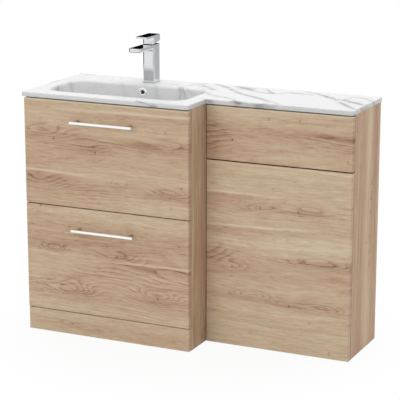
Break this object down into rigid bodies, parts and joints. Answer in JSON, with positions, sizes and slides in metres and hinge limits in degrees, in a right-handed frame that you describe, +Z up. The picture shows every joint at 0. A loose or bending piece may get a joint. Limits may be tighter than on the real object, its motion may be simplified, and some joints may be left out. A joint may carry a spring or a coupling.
{
  "type": "vanity unit",
  "caption": "Floor-standing vanity cabinet with drawers and a shallower toilet unit beside it, under one L-shaped basin top with a mixer tap.",
  "frame": {"origin": "on the floor, in the middle of the overall width and depth", "axes": "+X along the run to the toilet unit's end, +Y from the drawer handles to the wall, +Z up"},
  "size_m": [1.105, 0.425, 0.979],
  "materials": {
    "oak_board": "oak-effect faced board, satin",
    "drawer_board": "plain pale faced board, satin",
    "marble_top": "cast marble-effect top, polished",
    "chrome": "polished chrome",
    "runner_steel": "zinc-plated steel",
    "fitting_metal": "bright zinc",
    "brass": "machined brass",
    "white_plastic": "moulded plastic, matte",
    "grey_plastic": "moulded plastic, matte",
    "black_rubber": "moulded rubber"
  },
  "bodies": {
    "unit": {"vanity_left_side": "oak_board", "vanity_right_side": "oak_board", "vanity_base": "oak_board", "vanity_plinth": "oak_board", "vanity_front_rail": "oak_board", "vanity_divider_rail": "oak_board", "vanity_rear_top_rail": "oak_board", "vanity_rear_bottom_rail": "oak_board", "wc_left_side": "oak_board", "wc_right_side": "oak_board", "wc_lower_panel": "oak_board", "wc_top_rail": "oak_board", "wc_middle_rail": "oak_board", "wc_bottom_rail": "oak_board", "wc_rear_rail": "oak_board", "basin_top": "marble_top", "overflow_ring": "chrome", "waste_body": "chrome", "tap_body": "chrome", "tap_base_plate": "chrome", "tap_aerator": "chrome", "top_cabinet_runners": "runner_steel", "bottom_cabinet_runners": "runner_steel", "cam_fittings": "fitting_metal", "unit_connectors": "fitting_metal", "tap_stud": "fitting_metal", "tap_clamp_plate": "fitting_metal", "waste_backnut": "brass", "tap_clamp_nut": "brass", "tap_cartridge_nut": "brass", "floor_glides": "white_plastic", "corner_blocks": "white_plastic", "clip_sockets": "white_plastic", "tap_cartridge": "white_plastic", "waste_seal": "black_rubber", "tap_gasket": "black_rubber"},
    "top_drawer": {"top_drawer_front": "oak_board", "top_drawer_sides": "drawer_board", "top_drawer_back": "drawer_board", "top_drawer_base": "drawer_board", "top_drawer_handle": "chrome", "top_drawer_runners": "runner_steel", "top_handle_screws": "fitting_metal", "top_drawer_trap_surround": "grey_plastic"},
    "top_slides": {"top_middle_runners": "runner_steel"},
    "bottom_drawer": {"bottom_drawer_front": "oak_board", "bottom_drawer_sides": "drawer_board", "bottom_drawer_back": "drawer_board", "bottom_drawer_base": "drawer_board", "bottom_drawer_handle": "chrome", "bottom_drawer_runners": "runner_steel", "bottom_handle_screws": "fitting_metal"},
    "bottom_slides": {"bottom_middle_runners": "runner_steel"},
    "access_panel": {"access_panel": "oak_board", "panel_clips": "white_plastic"},
    "plug": {"waste_plug": "chrome"},
    "tap_swivel": {"tap_stem_carrier": "white_plastic"},
    "tap_lever": {"tap_lever": "chrome", "tap_stem": "fitting_metal", "lever_grub_screw": "fitting_metal"}
  },
  "joints": [
    {"name": "top_drawer_slide", "type": "slide", "parent": "unit", "child": "top_drawer", "axis": [0, -1, 0], "range_m": [0, 0.25]},
    {"name": "top_slides_travel", "type": "slide", "parent": "unit", "child": "top_slides", "axis": [0, -1, 0], "range_m": [0, 0.125]},
    {"name": "bottom_drawer_slide", "type": "slide", "parent": "unit", "child": "bottom_drawer", "axis": [0, -1, 0], "range_m": [0, 0.25]},
    {"name": "bottom_slides_travel", "type": "slide", "parent": "unit", "child": "bottom_slides", "axis": [0, -1, 0], "range_m": [0, 0.125]},
    {"name": "access_panel_pull", "type": "slide", "parent": "unit", "child": "access_panel", "axis": [0, -1, 0], "range_m": [0, 0.15]},
    {"name": "plug_lift", "type": "slide", "parent": "unit", "child": "plug", "axis": [0, 0, 1], "range_m": [0, 0.009]},
    {"name": "tap_swivel", "type": "hinge", "parent": "unit", "child": "tap_swivel", "pos_m": [-0.25, 0.163, 0.938], "axis": [0, 0, 1], "range_deg": [-45, 45]},
    {"name": "tap_lift", "type": "hinge", "parent": "tap_swivel", "child": "tap_lever", "pos_m": [-0.25, 0.163, 0.938], "axis": [-1, 0, 0], "range_deg": [0, 18]}
  ],
  "couplings": [
    {"joint": "top_slides_travel", "follows": "top_drawer_slide", "ratio": 0.5},
    {"joint": "bottom_slides_travel", "follows": "bottom_drawer_slide", "ratio": 0.5}
  ]
}
